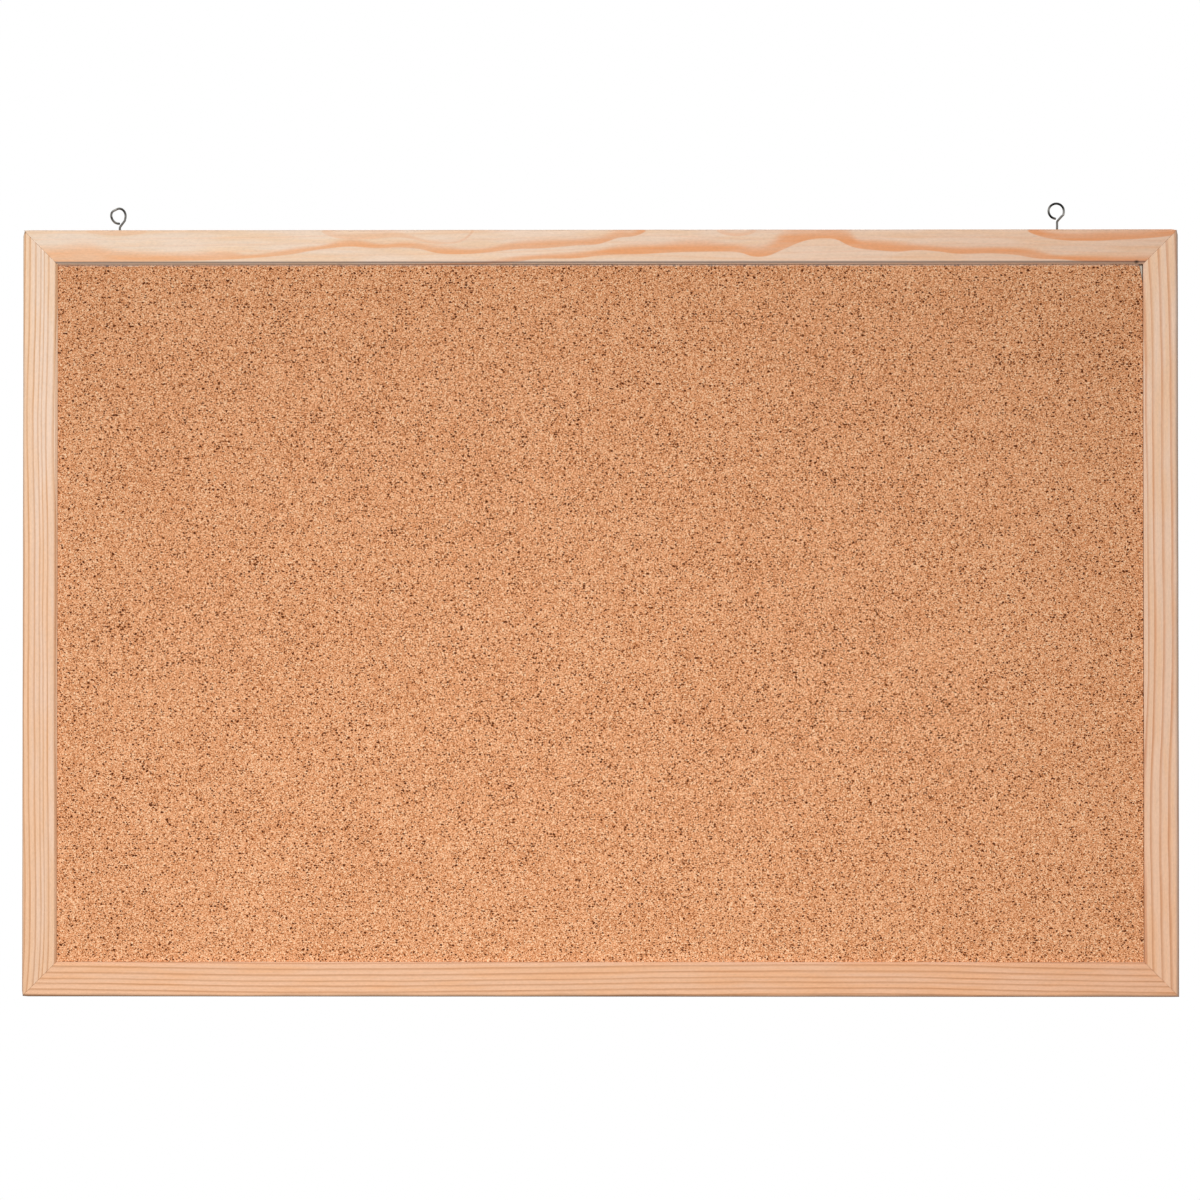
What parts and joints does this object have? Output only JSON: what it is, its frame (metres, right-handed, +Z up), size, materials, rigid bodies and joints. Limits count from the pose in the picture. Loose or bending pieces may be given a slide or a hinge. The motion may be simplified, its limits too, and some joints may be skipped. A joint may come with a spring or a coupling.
{
  "type": "framed cork notice board",
  "caption": "Framed cork notice board with mitred pine rails, a softboard core and wire screw eyes in the top edge to hang it by.",
  "frame": {"origin": "middle of the top rail's back face, in the wall plane", "axes": "+X to the right along the top rail as seen from the front, +Y out of the back into the wall, +Z up"},
  "size_m": [0.6, 0.016, 0.4127],
  "materials": {
    "pine_top": "planed and sanded, unvarnished",
    "pine_right": "planed and sanded, unvarnished",
    "pine_bottom": "planed and sanded, unvarnished",
    "pine_left": "planed and sanded, unvarnished",
    "cork": "fine agglomerated cork, sanded",
    "softboard": "pressed grey wood fibre",
    "kraft_paper": "brown kraft paper, matt",
    "eye_wire": "bright zinc plated wire",
    "point_steel": "blank rolled strip",
    "nail_steel": "blank rolled strip"
  },
  "bodies": {
    "root": {"top_rail": "pine_top", "right_stile": "pine_right", "bottom_rail": "pine_bottom", "left_stile": "pine_left", "cork_sheet": "cork", "softboard_core": "softboard", "kraft_back_liner": "kraft_paper", "screw_eye_left": "eye_wire", "screw_eye_right": "eye_wire", "top_rail_point_1": "point_steel", "top_rail_point_2": "point_steel", "top_rail_point_3": "point_steel", "bottom_rail_point_1": "point_steel", "bottom_rail_point_2": "point_steel", "bottom_rail_point_3": "point_steel", "left_stile_point_1": "point_steel", "left_stile_point_2": "point_steel", "right_stile_point_1": "point_steel", "right_stile_point_2": "point_steel", "top_left_mitre_nail_1": "nail_steel", "top_left_mitre_nail_2": "nail_steel", "top_right_mitre_nail_1": "nail_steel", "top_right_mitre_nail_2": "nail_steel", "bottom_left_mitre_nail_1": "nail_steel", "bottom_left_mitre_nail_2": "nail_steel", "bottom_right_mitre_nail_1": "nail_steel", "bottom_right_mitre_nail_2": "nail_steel"}
  },
  "joints": []
}
